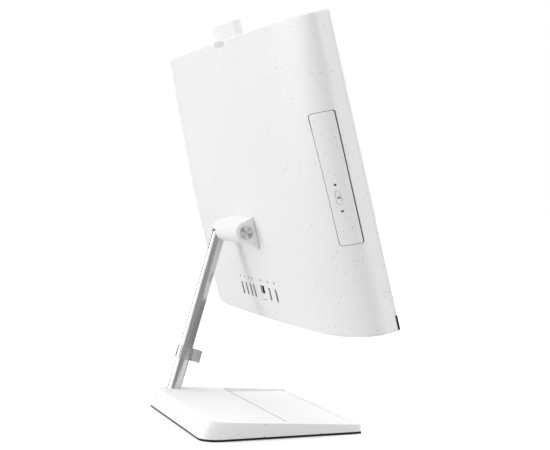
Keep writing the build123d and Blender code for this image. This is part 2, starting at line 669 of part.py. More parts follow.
def make_disc_spindle():
    """Motor hub with its three jaws, turning on the tray's pin."""
    u = DRIVE_MID_U
    v = DRIVE_MID_V
    hub = rod((u, 21.8, v), (u, 24.9, v), 14.8)
    hub += rod((u, 24.9, v), (u, 27.4, v), 7.4)
    for turn in range(3):
        jaw = Pos(u, 0, v) * Rot(0, turn * 120, 0) * block((6.0, 8.0), (26.2, 27.2), (-1.6, 1.6))
        hub += jaw
    return hub - rod((u, 21.0, v), (u, 24.3, v), 1.5 + RUNNING_GAP)


def make_laser_sled():
    """Laser carriage with its lens, running on two rails in the tray's window."""
    u = DRIVE_MID_U
    v = DRIVE_MID_V
    sled = block((u - 8, u + 8), (20.8, 23.6), (v - 45, v - 30))
    sled += rod((u, 23.6, v - 37), (u, 24.4, v - 37), 3.0)
    for side in (-1, 1):
        rail_u = u + side * SLED_RAIL
        sled -= rod((rail_u, 22.2, v - 50), (rail_u, 22.2, v - 20), 0.9 + RUNNING_GAP)
    return sled


# ---------------------------------------------------------------- ports

def make_usb_port(u):
    """Upright socket: a folded metal sleeve with its contact tongue."""
    low = BOARD_N[1]
    high = 52.2
    sleeve = block((u - 2.95, u + 2.95), (low, high), (PORT_MID_V - 7.05, PORT_MID_V + 7.05))
    sleeve -= block((u - 2.6, u + 2.6), (low + 4, high + 1), (PORT_MID_V - 6.6, PORT_MID_V + 6.6))
    tongue = block((u - 2.4, u - 0.6), (low + 3.5, high - 1.5), (PORT_MID_V - 5.8, PORT_MID_V + 5.8))
    return sleeve + tongue


def make_hdmi_port():
    low = BOARD_N[1]
    high = 52.2
    u = HDMI_U
    sleeve = block((u - 2.7, u + 2.7), (low, high), (PORT_MID_V - 7.0, PORT_MID_V + 7.0))
    sleeve -= block((u - 2.25, u + 2.25), (low + 5, high + 1), (PORT_MID_V - 6.6, PORT_MID_V + 6.6))
    tongue = block((u - 0.4, u + 0.4), (low + 4.5, high - 2), (PORT_MID_V - 5.0, PORT_MID_V + 5.0))
    return sleeve + tongue


def make_power_inlet():
    """Rectangular inlet for the external power supply's plug, with its centre pin."""
    low = BOARD_N[1]
    high = 52.2
    u = POWER_U
    sleeve = block((u - 2.75, u + 2.75), (low, high), (PORT_MID_V - 7.0, PORT_MID_V + 7.0))
    sleeve -= block((u - 2.3, u + 2.3), (low + 4, high + 1), (PORT_MID_V - 5.6, PORT_MID_V + 5.6))
    pin = rod((u, low + 3.5, PORT_MID_V), (u, high - 3, PORT_MID_V), 0.6)
    return sleeve + pin


def make_lan_jack():
    """Network jack, open to the back, with its row of contacts."""
    low = BOARD_N[1]
    high = 51.2
    u = LAN_U
    jack = block((u - 7.0, u + 7.0), (low, high), (24.0, 40.3))
    jack -= block((u - 5.9, u + 5.9), (low + 2.5, high + 1), (25.4, 38.6))
    for step in range(8):
        x = u + (step - 3.5) * 1.2
        jack += block((x - 0.3, x + 0.3), (low + 2.5, low + 6.5), (37.4, 38.8))
    return jack


def make_lan_door():
    """Sprung lower jaw of the network jack, flush with the shell when closed."""
    door = block((LAN_U - 6.6, LAN_U + 6.6), (52.0, 53.2), (24.5, 31.2))
    return door + lan_door_pin(8.2, 0.5)


def lan_door_pin(half_length, radius):
    """The jaw's hinge pin, which clips into the shell on both sides of the mouth."""
    return rod((LAN_U - half_length, 52.5, 25.0), (LAN_U + half_length, 52.5, 25.0), radius)


def mark_depths(u):
    """Inner and outer depth of a printed mark, which stands a hair proud of the shell."""
    surface = back_depth(u, MARK_V)
    return (surface - 0.9, surface + 0.06)


def make_port_marks():
    """Small generic marks printed above the ports: plain dots and bars."""
    marks = []
    for u in USB_U:
        depths = mark_depths(u)
        dot = rod((u, depths[0], MARK_V), (u, depths[1], MARK_V), 1.3)
        marks.append(dot + block((u - 0.4, u + 0.4), depths, (MARK_V, MARK_V + 2.8)))
    for u in (LAN_U + 1.5, HDMI_U, POWER_U):
        marks.append(block((u - 1.8, u + 1.8), mark_depths(u), (MARK_V - 1.1, MARK_V + 1.1)))
    return marks


# ---------------------------------------------------------------- electronics

def make_mainboard():
    """Circuit board behind the frame, with its larger chips."""
    board = block((-112, 112), BOARD_N, (18, 124))
    for x, y, w, h, t in ((-60, 64, 26, 26, 1.6), (10, 70, 34, 34, 2.6), (-95, 40, 12, 18, 2.2),
                          (80, 50, 16, 12, 1.4)):
        board += block((x - w / 2, x + w / 2), (BOARD_N[1], BOARD_N[1] + t), (y - h / 2, y + h / 2))
    for step in range(6):
        board += rod((-24 + step * 9, BOARD_N[1], 116), (-24 + step * 9, BOARD_N[1] + 7, 116), 3.2)
    return board


def make_board_standoffs():
    """Threaded pillars between the steel frame and the circuit board."""
    pillars = []
    for u in (-108, 0, 108):
        for v in (45, 112):
            pillar = rod((u, 9.8, v), (u, BOARD_N[0], v), 2.6)
            pillars.append(place(pillar))
    return Compound(children=pillars)


def make_heat_sink():
    """Fin stack at the fan's outlet, joined to the processor by a flat heat pipe."""
    fins = block((128, 192), (22, 35), (16.5, 18.0))
    for step in range(20):
        u = 128.5 + step * 3.3
        fins += block((u - 0.3, u + 0.3), (22, 35), (16.5, 30))
    plate = block((-8, 28), (BOARD_N[1] + 2.6, BOARD_N[1] + 4.1), (52, 88))
    pipe = block((20, 120), (BOARD_N[1] + 2.6, BOARD_N[1] + 5.1), (62, 70))
    drop = block((114, 122), (BOARD_N[1] + 2.6, BOARD_N[1] + 5.1), (24, 70))
    along = block((114, 192), (35.0, BOARD_N[1] + 5.1), (20, 28))
    return fins + plate + pipe + drop + along


def make_fan_housing():
    """Flat blower housing, open towards the fins."""
    housing = block((125, 195), (22, 35), (31, 105))
    housing = fillet(housing.edges().filter_by(Axis.Y).group_by(Axis.Z)[-1], 20)
    housing -= rod((160, 23.5, 70), (160, 33.5, 70), 32)
    housing -= rod((160, 20, 70), (160, 40, 70), 20)
    housing -= block((129, 191), (23.5, 33.5), (30, 60))
    for turn in range(3):
        spoke = Pos(160, 0, 70) * Rot(0, turn * 120 + 30, 0) * block((0, 22), (22, 23.4), (-1.5, 1.5))
        housing += spoke
    housing += rod((160, 22, 70), (160, 23.4, 70), 9)
    housing += rod((160, 22, 70), (160, 30.0, 70), 1.45)
    return housing


def make_fan_rotor():
    """Blower wheel: a hub with curved blades, turning on the housing's pin."""
    rotor = rod((160, 24.4, 70), (160, 32.4, 70), 11)
    rotor -= rod((160, 23.0, 70), (160, 30.4, 70), 1.5)
    for turn in range(25):
        blade = Pos(160, 0, 70) * Rot(0, turn * 14.4, 0) * Pos(19, 0, 0) * Rot(0, 24, 0) * block(
            (-9.6, 9.6), (25.2, 32.0), (-0.4, 0.4))
        rotor += blade
    ring = rod((160, 24.8, 70), (160, 25.6, 70), 29) - rod((160, 24, 70), (160, 26, 70), 10.5)
    return rotor + ring


def make_memory_module():
    """Memory card in its socket, lying flat above the board."""
    card = block((-104, -36), (BOARD_N[1] + 4.0, BOARD_N[1] + 5.2), (84, 114))
    for step in range(4):
        x = -95 + step * 16
        card += block((x - 5, x + 5), (BOARD_N[1] + 5.2, BOARD_N[1] + 6.3), (92, 106))
    return card + block((-106, -34), (BOARD_N[1], BOARD_N[1] + 5.4), (80, 84))


def make_ssd_card():
    """Solid state drive on the board."""
    card = block((36, 106), (BOARD_N[1] + 2.6, BOARD_N[1] + 3.4), (90, 112))
    card += block((46, 64), (BOARD_N[1] + 3.4, BOARD_N[1] + 4.8), (94, 108))
    card += block((72, 90), (BOARD_N[1] + 3.4, BOARD_N[1] + 4.8), (94, 108))
    return card + block((32, 36), (BOARD_N[1], BOARD_N[1] + 4.2), (90, 112))


def make_hard_drive():
    """Notebook hard disk on the steel frame."""
    case = block((150, 250), (10.2, 17.2), (170, 240))
    return fillet(case.edges().filter_by(Axis.Y), 2.5)


def make_power_button():
    """Push button in the bottom face."""
    cap = extrude(Pos(236, 22, -0.4) * SlotOverall(12.0, 4.6), 3.8)
    flange = extrude(Pos(236, 22, WALL + 1.0) * SlotOverall(14.0, 6.6), 1.0)
    return cap + flange


def power_button_bore():
    return extrude(Pos(236, 22, -3) * SlotOverall(12.8, 5.4), 8)


def build():
    display = {
        "back_cover": make_back_cover(),
        "front_frame": make_front_frame(),
        "screen_glass": make_screen_glass(),
        "backlight_unit": make_backlight(),
        "mid_frame": make_mid_frame(),
        "speaker_bar": make_chin_bar(),
        "speaker_left": make_speaker(-1),
        "speaker_right": make_speaker(1),
        "hinge_cover": make_hinge_cover(),
        "hinge_bracket": make_hinge_bracket(),
        "hinge_cap": make_hinge_cap(),
        "camera_guide": make_camera_guide(),
        "camera_body": make_camera_body(),
        "camera_window": make_camera_window(),
        "camera_lens": make_camera_lens(),
        "drive_case": make_drive_case(),
        "drive_tray": make_drive_tray(),
        "drive_bezel": make_drive_bezel(),
        "drive_light": make_drive_led(),
        "eject_button": make_eject_button(),
        "disc_spindle": make_disc_spindle(),
        "laser_sled": make_laser_sled(),
        "lan_jack": make_lan_jack(),
        "lan_door": make_lan_door(),
        "hdmi_port": make_hdmi_port(),
        "power_inlet": make_power_inlet(),
        "mainboard": make_mainboard(),
        "heat_sink": make_heat_sink(),
        "fan_housing": make_fan_housing(),
        "fan_rotor": make_fan_rotor(),
        "memory_module": make_memory_module(),
        "ssd_card": make_ssd_card(),
        "hard_drive": make_hard_drive(),
        "power_button": make_power_button(),
    }
    for number, u in enumerate(USB_U, start=1):
        display[f"usb_port_{number}"] = make_usb_port(u)
    for name, part in display.items():
        save(place(part), name)
    save(Compound(children=[place(mark) for mark in make_port_marks()]), "port_marks")
    save(make_board_standoffs(), "board_standoffs")
    save(make_cover_screws(), "cover_screws")
    stand = {
        "stand_tube": make_stand_tube(),
        "stand_knuckle": make_stand_knuckle(),
        "hinge_axle": make_hinge_axle(),
        "base_cover": make_base_cover(),
        "base_pan": make_base_pan(),
        "base_weight": make_base_weight(),
        "rubber_rim": make_rubber_rim(),
        "pan_screws": make_pan_screws(),
        "cable_clip": make_cable_clip(),
    }
    for name, part in stand.items():
        save(part, name)


build()
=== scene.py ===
import json
import math

import bmesh
import bpy
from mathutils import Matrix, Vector
from mathutils.bvhtree import BVHTree


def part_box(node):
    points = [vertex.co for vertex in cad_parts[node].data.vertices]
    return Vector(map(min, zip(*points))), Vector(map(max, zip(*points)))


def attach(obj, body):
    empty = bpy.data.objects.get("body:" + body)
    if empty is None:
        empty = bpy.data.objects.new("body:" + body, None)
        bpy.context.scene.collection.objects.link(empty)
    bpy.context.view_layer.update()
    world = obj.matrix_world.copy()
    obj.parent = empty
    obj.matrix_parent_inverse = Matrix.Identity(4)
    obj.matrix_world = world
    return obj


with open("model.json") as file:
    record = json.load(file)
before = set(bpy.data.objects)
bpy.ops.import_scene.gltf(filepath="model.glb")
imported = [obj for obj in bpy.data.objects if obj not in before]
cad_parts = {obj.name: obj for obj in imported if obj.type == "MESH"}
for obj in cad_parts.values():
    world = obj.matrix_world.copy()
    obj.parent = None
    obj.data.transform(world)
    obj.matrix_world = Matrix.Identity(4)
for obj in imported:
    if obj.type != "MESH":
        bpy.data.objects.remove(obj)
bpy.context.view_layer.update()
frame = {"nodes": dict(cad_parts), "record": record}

nodes = frame["nodes"]
scene = bpy.context.scene
MM = 0.001

# The display body's own axes: across the screen, up the screen and into the body.
TILT = math.radians(13.6)
HEAD = Vector((0, -0.0877, 0.1134))
ACROSS = Vector((1, 0, 0))
UP = Vector((0, math.sin(TILT), math.cos(TILT)))
INTO = Vector((0, math.cos(TILT), -math.sin(TILT)))


def at(u, v, n):
    """A point of the display body, from millimetres across, up and into it."""
    return HEAD + (ACROSS * u + UP * v + INTO * n) * MM


# ---------------------------------------------------------------- camera, light and floor

def add_camera():
    """Looks along +X and a little towards -Y and down, at the back of the machine."""
    heading = math.radians(17.943)
    pitch = math.radians(1.879)
    data = bpy.data.cameras.new("camera")
    data.lens = 89.56
    data.sensor_width = 36.0
    camera = bpy.data.objects.new("camera", data)
    camera.location = (-1.47947, 0.43070, 0.25803)
    level = Vector((math.cos(heading), -math.sin(heading), 0))
    way = level * math.cos(pitch) + Vector((0, 0, -math.sin(pitch)))
    camera.rotation_euler = way.to_track_quat("-Z", "Y").to_euler()
    scene.collection.objects.link(camera)
    scene.camera = camera


def add_light(name, place, size, power):
    """A soft rectangular light aimed at the middle of the machine."""
    aim = Vector((0, 0, 0.2))
    data = bpy.data.lights.new(name, "AREA")
    data.shape = "RECTANGLE"
    data.size, data.size_y = size
    data.energy = power
    light = bpy.data.objects.new(name, data)
    light.location = place
    light.rotation_euler = (aim - Vector(place)).to_track_quat("-Z", "Y").to_euler()
    scene.collection.objects.link(light)


def directional(tree, parts):
    """Brightness of the studio towards a direction, from (axis, strength, start, end) parts."""
    way = add(tree, "TexCoord").outputs["Generated"]
    total = 0.0
    for axis, strength, start, end in parts:
        share = add(tree, "VectorMath", {0: way, 1: axis}, operation="DOT_PRODUCT").outputs["Value"]
        total = calc(tree, "ADD", ramp(tree, share, start, end, 0, strength), total)
    return total


def add_world():
    """White backdrop. Matt surfaces are lit from above, the far side and a little from in front;
    shiny ones mirror a dim studio with one tall strip light behind the machine's back."""
    world = bpy.data.worlds.new("studio")
    world.use_nodes = True
    tree = world.node_tree
    tree.nodes.clear()
    soft = directional(tree, [
        ((1, 0, 0), 1.26, 0, 1),
        ((0, -1, 0), 0.66, 0, 1),
        ((0, 0, 1), 1.66, 0, 1),
    ])
    strips = directional(tree, [
        ((-0.13, 0.99, 0), 1.6, 0.90, 0.985),
        ((-1, 0, 0), 0.30, 0.2, 1),
        ((0, 0, 1), 0.30, 0.1, 1),
        ((0, 0, 1), 0.16, -1.1, -1),
    ])
    ray = add(tree, "LightPath")
    matt = add(tree, "Background", {"Color": (0.985, 0.992, 1, 1), "Strength": soft})
    shiny = add(tree, "Background", {"Color": (1, 1, 1, 1), "Strength": strips})
    seen = add(tree, "Background", {"Color": (1, 1, 1, 1), "Strength": 1.0})
    lit = add(tree, "MixShader", {0: ray.outputs["Is Glossy Ray"], 1: matt.outputs[0], 2: shiny.outputs[0]})
    both = add(tree, "MixShader", {0: ray.outputs["Is Camera Ray"], 1: lit.outputs[0], 2: seen.outputs[0]})
    add(tree, "OutputWorld", {0: both.outputs[0]})
    scene.world = world


# ---------------------------------------------------------------- material building blocks

def add(tree, kind, inputs=None, **settings):
    """A shader node with its settings, and its inputs given as values or as other nodes' outputs."""
    made = tree.nodes.new("ShaderNode" + kind)
    for key, value in settings.items():
        setattr(made, key, value)
    for key, value in (inputs or {}).items():
        if isinstance(value, bpy.types.NodeSocket):
            tree.links.new(value, made.inputs[key])
        else:
            made.inputs[key].default_value = value
    return made


def calc(tree, operation, first, second=0.0):
    return add(tree, "Math", {0: first, 1: second}, operation=operation).outputs[0]


def blend(tree, factor, low, high):
    """A colour between low and high."""
    made = add(tree, "Mix", {0: factor, 6: low, 7: high}, data_type="RGBA")
    return made.outputs[2]


def ramp(tree, value, start, end, low=0.0, high=1.0):
    """Runs from low to high as the value runs from start to end, and is flat outside them."""
    inputs = {"Value": value, "From Min": start, "From Max": end, "To Min": low, "To Max": high}
    return add(tree, "MapRange", inputs, clamp=True).outputs["Result"]


def grey(level, warm=0.0):
    """A grey, made a little redder and less blue by warm."""
    return (level * (1 + warm), level, level * (1 - warm), 1)


def start_material(name, **sockets):
    """A material whose constants are set on the shader's own sockets."""
    material = bpy.data.materials.new(name)
    material.use_nodes = True
    tree = material.node_tree
    shader = tree.nodes["Principled BSDF"]
    for key, value in sockets.items():
        shader.inputs[key.replace("_", " ")].default_value = value
    place = add(tree, "TexCoord").outputs["Object"]
    return material, tree, shader, place


def noise(tree, place, scale, detail=3.0, stretch=None, turn=None):
    """Cloudy noise, if asked turned first and then stretched along an axis."""
    if turn:
        place = add(tree, "Mapping", {"Vector": place, "Rotation": turn}).outputs[0]
    if stretch:
        place = add(tree, "Mapping", {"Vector": place, "Scale": stretch}).outputs[0]
    made = add(tree, "TexNoise", {"Vector": place, "Scale": scale, "Detail": detail})
    return made.outputs["Fac"]


def bump(tree, shader, height, depth):
    """Adds a bump whose height runs over depth metres."""
    made = add(tree, "Bump", {"Height": height, "Strength": 1.0, "Distance": depth})
    tree.links.new(made.outputs[0], shader.inputs["Normal"])


def feed(tree, shader, colour, roughness):
    """Feeds the shader's colour and roughness."""
    tree.links.new(colour, shader.inputs["Base Color"])
    tree.links.new(roughness, shader.inputs["Roughness"])


def flecks(tree, place, scale, radius, share):
    """Scattered round specks: 1 inside one, 0 outside. Radius in metres."""
    cells = add(tree, "TexVoronoi", {"Vector": place, "Scale": scale, "Randomness": 1.0})
    parts = add(tree, "SeparateColor", {"Color": cells.outputs["Color"]})
    edge = ramp(tree, parts.outputs["Green"], 0, 1, radius * scale * 0.6, radius * scale * 1.3)
    inside = ramp(tree, calc(tree, "DIVIDE", cells.outputs["Distance"], edge), 0.75, 1.15, 1, 0)
    kept = calc(tree, "LESS_THAN", parts.outputs["Red"], share)
    return calc(tree, "MULTIPLY", inside, kept)


# ---------------------------------------------------------------- materials

def flecked_white():
    """Moulded white plastic with grey mineral flecks and a fine spark-eroded texture."""
    level = 0.87
    # Scale, radius, share of cells, strength and grey of the fine, middling and coarse flecks.
    kinds = (
        (330, 0.00050, 0.9, 0.34, 0.45),
        (190, 0.00052, 0.6, 0.7, 0.30),
        (120, 0.00058, 0.45, 0.8, 0.16),
    )
    material, tree, shader, place = start_material("shell_white", IOR=1.47)
    drift = ramp(tree, noise(tree, place, 9, 2), 0.35, 0.65)
    colour = blend(tree, drift, grey(level * 0.985, 0.003), grey(level))
    for scale, radius, share, strength, tone in kinds:
        speck = flecks(tree, place, scale, radius, share)
        colour = blend(tree, calc(tree, "MULTIPLY", speck, strength), colour, grey(tone))
    grain = noise(tree, place, 2600, 2)
    feed(tree, shader, colour, ramp(tree, grain, 0.3, 0.7, 0.36, 0.50))
    bump(tree, shader, grain, 0.000012)
    return material


def knitted_black():
    """Dark speaker cloth: one set of yarns up the bar and one across it."""
    material, tree, shader, place = start_material("speaker_black", Sheen_Weight=0.35, Sheen_Roughness=0.5)
    turned = add(tree, "Mapping", {"Vector": place, "Rotation": (-TILT, 0, 0)}).outputs[0]
    yarn = {"Scale": 190, "Distortion": 0.6, "Detail": 1.0}
    across = add(tree, "TexWave", {"Vector": place, **yarn}, bands_direction="X")
    upward = add(tree, "TexWave", {"Vector": turned, **yarn}, bands_direction="Z")
    weave = calc(tree, "MULTIPLY", across.outputs["Fac"], upward.outputs["Fac"])
    fibre = noise(tree, place, 1500, 4)
    height = calc(tree, "ADD", weave, calc(tree, "MULTIPLY", fibre, 0.3))
    colour = blend(tree, weave, grey(0.006), grey(0.022))
    feed(tree, shader, colour, ramp(tree, fibre, 0.3, 0.7, 0.75, 0.95))
    bump(tree, shader, height, 0.00025)
    return material


def screen_glass():
    """Dark cover glass: a printed black border round the slightly bluer picture area."""
    gloss = {"IOR": 1.5, "Coat_Weight": 1.0, "Coat_Roughness": 0.03}
    material, tree, shader, place = start_material("screen_glass", **gloss)
    side_border, lower_border, upper_border = 3.5 * MM, 11.0 * MM, 4.5 * MM
    low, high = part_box("screen_glass")
    split = add(tree, "SeparateXYZ", {"Vector": place})
    inside_x = calc(tree, "LESS_THAN", calc(tree, "ABSOLUTE", split.outputs["X"]), high.x - side_border)
    above = calc(tree, "GREATER_THAN", split.outputs["Z"], low.z + lower_border)
    below = calc(tree, "LESS_THAN", split.outputs["Z"], high.z - upper_border)
    picture = calc(tree, "MULTIPLY", inside_x, calc(tree, "MULTIPLY", above, below))
    smear = noise(tree, place, 14, 5)
    active = blend(tree, smear, (0.010, 0.012, 0.016, 1), (0.014, 0.016, 0.021, 1))
    feed(tree, shader, blend(tree, picture, grey(0.004), active), ramp(tree, smear, 0.3, 0.75, 0.10, 0.22))
    return material


def dark_glass():
    """Nearly black, slightly hazy glass over the camera."""
    gloss = {"IOR": 1.5, "Coat_Weight": 1.0, "Coat_Roughness": 0.02}
    material, tree, shader, place = start_material("dark_glass", **gloss)
    haze = noise(tree, place, 60, 3)
    colour = blend(tree, haze, grey(0.004), (0.012, 0.012, 0.02, 1))
    feed(tree, shader, colour, ramp(tree, haze, 0.3, 0.7, 0.06, 0.14))
    return material


def grained_plastic(name, low, high, roughness, scale=1400, depth=0.00003):
    """Moulded plastic or rubber: a fine grain in colour, gloss and height."""
    material, tree, shader, place = start_material(name)
    grain = noise(tree, place, scale, 3)
    patch = noise(tree, place, 22, 3)
    mixed = calc(tree, "ADD", calc(tree, "MULTIPLY", grain, 0.5), calc(tree, "MULTIPLY", patch, 0.5))
    colour = blend(tree, ramp(tree, mixed, 0.35, 0.65), low, high)
    feed(tree, shader, colour, ramp(tree, patch, 0.3, 0.7, roughness - 0.06, roughness + 0.08))
    bump(tree, shader, grain, depth)
    return material


def drawn_metal(name, low, high, roughness, stretch, scale=900, turn=None):
    """Metal with fine lines along one direction."""
    material, tree, shader, place = start_material(name, Metallic=1.0)
    lines = noise(tree, place, scale, 4, stretch, turn)
    patch = noise(tree, place, 18, 3)
    mixed = calc(tree, "ADD", calc(tree, "MULTIPLY", lines, 0.7), calc(tree, "MULTIPLY", patch, 0.3))
    colour = blend(tree, ramp(tree, mixed, 0.3, 0.7), low, high)
    feed(tree, shader, colour, ramp(tree, mixed, 0.3, 0.7, roughness - 0.05, roughness + 0.07))
    bump(tree, shader, lines, 0.000008)
    return material


def plated_steel():
    """Zinc-plated sheet with its crystal pattern."""
    material, tree, shader, place = start_material("sheet_steel", Metallic=1.0)
    spangle = add(tree, "TexVoronoi", {"Vector": place, "Scale": 260})
    tone = add(tree, "SeparateColor", {"Color": spangle.outputs["Color"]}).outputs["Red"]
    colour = blend(tree, tone, grey(0.50), (0.64, 0.66, 0.68, 1))
    feed(tree, shader, colour, ramp(tree, tone, 0, 1, 0.28, 0.46))
    bump(tree, shader, noise(tree, place, 700, 2), 0.00001)
    return material


def spun_cap():
    """Turned metal disc: fine rings, with painted highlight and painted shade in wedges round its centre,
    standing in for the turned metal's reflections.
    """
    radians_per_metre = 14000
    material, tree, shader, place = start_material("cap_metal", Metallic=0.4)
    low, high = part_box("hinge_cap")
    centre = (low + high) / 2
    moved = add(tree, "VectorMath", {0: place, 1: centre}, operation="SUBTRACT").outputs[0]
    split = add(tree, "SeparateXYZ", {"Vector": moved})
    angle = calc(tree, "ARCTAN2", split.outputs["Z"], split.outputs["Y"])
    # Painted highlight and shade: brighter and darker wedges by angle round the centre, standing in for
    # reflections.
    painted_sheen_sectors = calc(tree, "COSINE", calc(tree, "ADD", calc(tree, "MULTIPLY", angle, 4.0), 0.6))
    second = calc(tree, "COSINE", calc(tree, "ADD", calc(tree, "MULTIPLY", angle, 2.0), 2.2))
    tone = calc(tree, "ADD", calc(tree, "MULTIPLY", painted_sheen_sectors, 0.6), calc(tree, "MULTIPLY", second, 0.4))
    distance = add(tree, "VectorMath", {0: moved}, operation="LENGTH").outputs["Value"]
    rings = calc(tree, "SINE", calc(tree, "MULTIPLY", distance, radians_per_metre))
    # The painted highlight and shade wedges set the cap's colour from dark to light grey.
    colour = blend(tree, ramp(tree, tone, -0.9, 0.9), grey(0.36), grey(0.78))
    feed(tree, shader, colour, ramp(tree, rings, -1, 1, 0.34, 0.46))
    bump(tree, shader, rings, 0.00001)
    return material


def frosted_clip():
    """Milky clear plastic."""
    material, tree, shader, place = start_material("clip_frosted", IOR=1.46, Transmission_Weight=0.9)
    cloud = noise(tree, place, 240, 4)
    colour = blend(tree, cloud, (0.95, 0.953, 0.957, 1), grey(0.99))
    feed(tree, shader, colour, ramp(tree, cloud, 0.3, 0.7, 0.12, 0.26))
    bump(tree, shader, noise(tree, place, 1800, 2), 0.00002)
    return material


def circuit_board():
    """Green solder mask with copper tracks and darker ground areas."""
    material, tree, shader, place = start_material("board_green", Coat_Weight=0.4, Coat_Roughness=0.2)
    turned = add(tree, "Mapping", {"Vector": place, "Rotation": (math.pi / 2, 0, 0)}).outputs[0]
    pattern = {"Vector": turned, "Scale": 160, "Mortar Size": 0.03, "Brick Width": 1.4}
    tracks = add(tree, "TexBrick", pattern, offset=0.37)
    area = ramp(tree, noise(tree, place, 45, 2), 0.45, 0.5)
    lines = calc(tree, "MULTIPLY", tracks.outputs["Fac"], area)
    mask = blend(tree, area, (0.010, 0.085, 0.040, 1), (0.014, 0.12, 0.055, 1))
    colour = blend(tree, lines, mask, (0.05, 0.24, 0.10, 1))
    feed(tree, shader, colour, ramp(tree, area, 0, 1, 0.32, 0.42))
    bump(tree, shader, lines, 0.00003)
    return material


def printed_mark():
    """Worn grey finish of the port marks, the drive's light and the power button."""
    material, tree, shader, place = start_material("mark_grey")
    wear = ramp(tree, noise(tree, place, 2400, 3), 0.35, 0.7)
    feed(tree, shader, blend(tree, wear, grey(0.09), grey(0.20)), ramp(tree, wear, 0, 1, 0.5, 0.7))
    return material


def gold_contact():
    """Gold-plated contact, rubbed dull in places."""
    material, tree, shader, place = start_material("contact_gold", Metallic=1.0)
    wear = noise(tree, place, 900, 3)
    colour = blend(tree, wear, (0.72, 0.48, 0.18, 1), (0.90, 0.66, 0.30, 1))
    feed(tree, shader, colour, ramp(tree, wear, 0.3, 0.7, 0.22, 0.38))
    return material


def pale_floor():
    """Pale to look at, but greyer as the machine's sides and its metal see it."""
    material, tree, shader, place = start_material("floor_pale")
    patch = noise(tree, place, 1.5, 2)
    pale = blend(tree, patch, grey(0.93), grey(0.95))
    ray = add(tree, "LightPath")
    bounced = blend(tree, ray.outputs["Is Diffuse Ray"], pale, grey(0.55))
    colour = blend(tree, ray.outputs["Is Glossy Ray"], bounced, grey(0.20))
    feed(tree, shader, colour, ramp(tree, patch, 0, 1, 0.75, 0.9))
    return material


def make_materials():
    """One material for each slot, and gold for the sockets' contacts."""
    lean = (-math.radians(16.9), 0, 0)
    along_tube = (1, 1, 0.02)
    along_socket = (0.1, 1, 1)
    along_fin = (1, 1, 0.08)
    every_way = (1, 1, 1)
    bright_tube = (0.70, 0.705, 0.71, 1)
    return {
        "shell_white": flecked_white(),
        "speaker_black": knitted_black(),
        "screen_glass": screen_glass(),
        "panel_grey": grained_plastic("panel_grey", grey(0.34), grey(0.42), 0.5),
        "sheet_steel": plated_steel(),
        "tube_metal": drawn_metal("tube_metal", grey(0.60), bright_tube, 0.17, along_tube, 900, lean),
        "cap_metal": spun_cap(),
        "rubber": grained_plastic("rubber", grey(0.012), grey(0.028), 0.8, 1100, 0.00008),
        "clip_frosted": frosted_clip(),
        "board_green": circuit_board(),
        "port_metal": drawn_metal("port_metal", grey(0.50), grey(0.62), 0.28, along_socket, 1300),
        "port_black": grained_plastic("port_black", grey(0.010), grey(0.020), 0.55),
        "mark_grey": printed_mark(),
        "fin_metal": drawn_metal("fin_metal", grey(0.62), grey(0.76), 0.3, along_fin, 800),
        "dark_glass": dark_glass(),
        "screw_steel": drawn_metal("screw_steel", grey(0.42), grey(0.58), 0.3, every_way, 1600),
        "inner_black": grained_plastic("inner_black", grey(0.020), grey(0.040), 0.6),
        "contact_gold": gold_contact(),
    }


def paint(piece, material):
    """Gives a piece one material."""
    piece.data.materials.clear()
    piece.data.materials.append(material)


# ---------------------------------------------------------------- pieces

def mesh_piece(name, builder, body):
    """A new piece from bmesh work, riding on a body."""
    shape = bmesh.new()
    builder(shape)
    bmesh.ops.recalc_face_normals(shape, faces=shape.faces)
    mesh = bpy.data.meshes.new(name)
    shape.to_mesh(mesh)
    shape.free()
    piece = bpy.data.objects.new(name, mesh)
    scene.collection.objects.link(piece)
    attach(piece, body)
    return piece


def join_rings(shape, first, second):
    """A band of four-sided faces between two closed rings of points."""
    count = len(first)
    for k in range(count):
        after = (k + 1) % count
        shape.faces.new((first[k], first[after], second[after], second[k]))


def sweep(shape, path, width, thick, side):
    """A flat strip swept along points, wide along side."""
    rings = []
    for index, point in enumerate(path):
        before = path[max(index - 1, 0)]
        after = path[min(index + 1, len(path) - 1)]
        along = (after - before).normalized()
        out = along.cross(side).normalized()
        ring = []
        for a, b in ((-1, -1), (1, -1), (1, 1), (-1, 1)):
            ring.append(shape.verts.new(point + side * (a * width / 2) + out * (b * thick / 2)))
        rings.append(ring)
    for low, high in zip(rings, rings[1:]):
        join_rings(shape, low, high)
    shape.faces.new(rings[0])
    shape.faces.new(reversed(rings[-1]))


def reach(node):
    """How far a node of the display body goes across, up and into it, in millimetres."""
    points = [vertex.co - HEAD for vertex in nodes[node].data.vertices]
    spans = []
    for axis in (ACROSS, UP, INTO):
        places = [point.dot(axis) / MM for point in points]
        spans.append((min(places), max(places)))
    return spans


def usb_contacts(shape):
    """Four sprung contacts on the tongue of each upright socket."""
    pitch, length, rise, sunk = 2.5, 8.2, 0.45, 5.0
    width, thick = 1.0 * MM, 0.12 * MM
    tongue_side = -0.50
    steps = 8
    for node in ("usb_port_1", "usb_port_2", "usb_port_3", "usb_port_4"):
        across, up, into = reach(node)
        u = sum(across) / 2 + tongue_side
        for contact in range(4):
            v = sum(up) / 2 + (contact - 1.5) * pitch
            path = []
            for step in range(steps + 1):
                share = step / steps
                lift = rise * math.sin(share * math.pi)
                path.append(at(u + lift, v, into[0] + sunk + share * length))
            sweep(shape, path, width, thick, UP)


def hdmi_contacts(shape):
    """Two rows of fine contacts on the video socket's tongue."""
    pitch, length, sunk = 1.0, 6.6, 5.5
    width, thick = 0.45 * MM, 0.08 * MM
    tongue_side = 0.46
    steps = 6
    across, up, into = reach("hdmi_port")
    for side in (-1, 1):
        u = sum(across) / 2 + side * tongue_side
        for contact in range(9):
            v = sum(up) / 2 + (contact - 4) * pitch
            path = [at(u, v, into[0] + sunk + length * step / steps) for step in range(steps + 1)]
            sweep(shape, path, width, thick, UP)


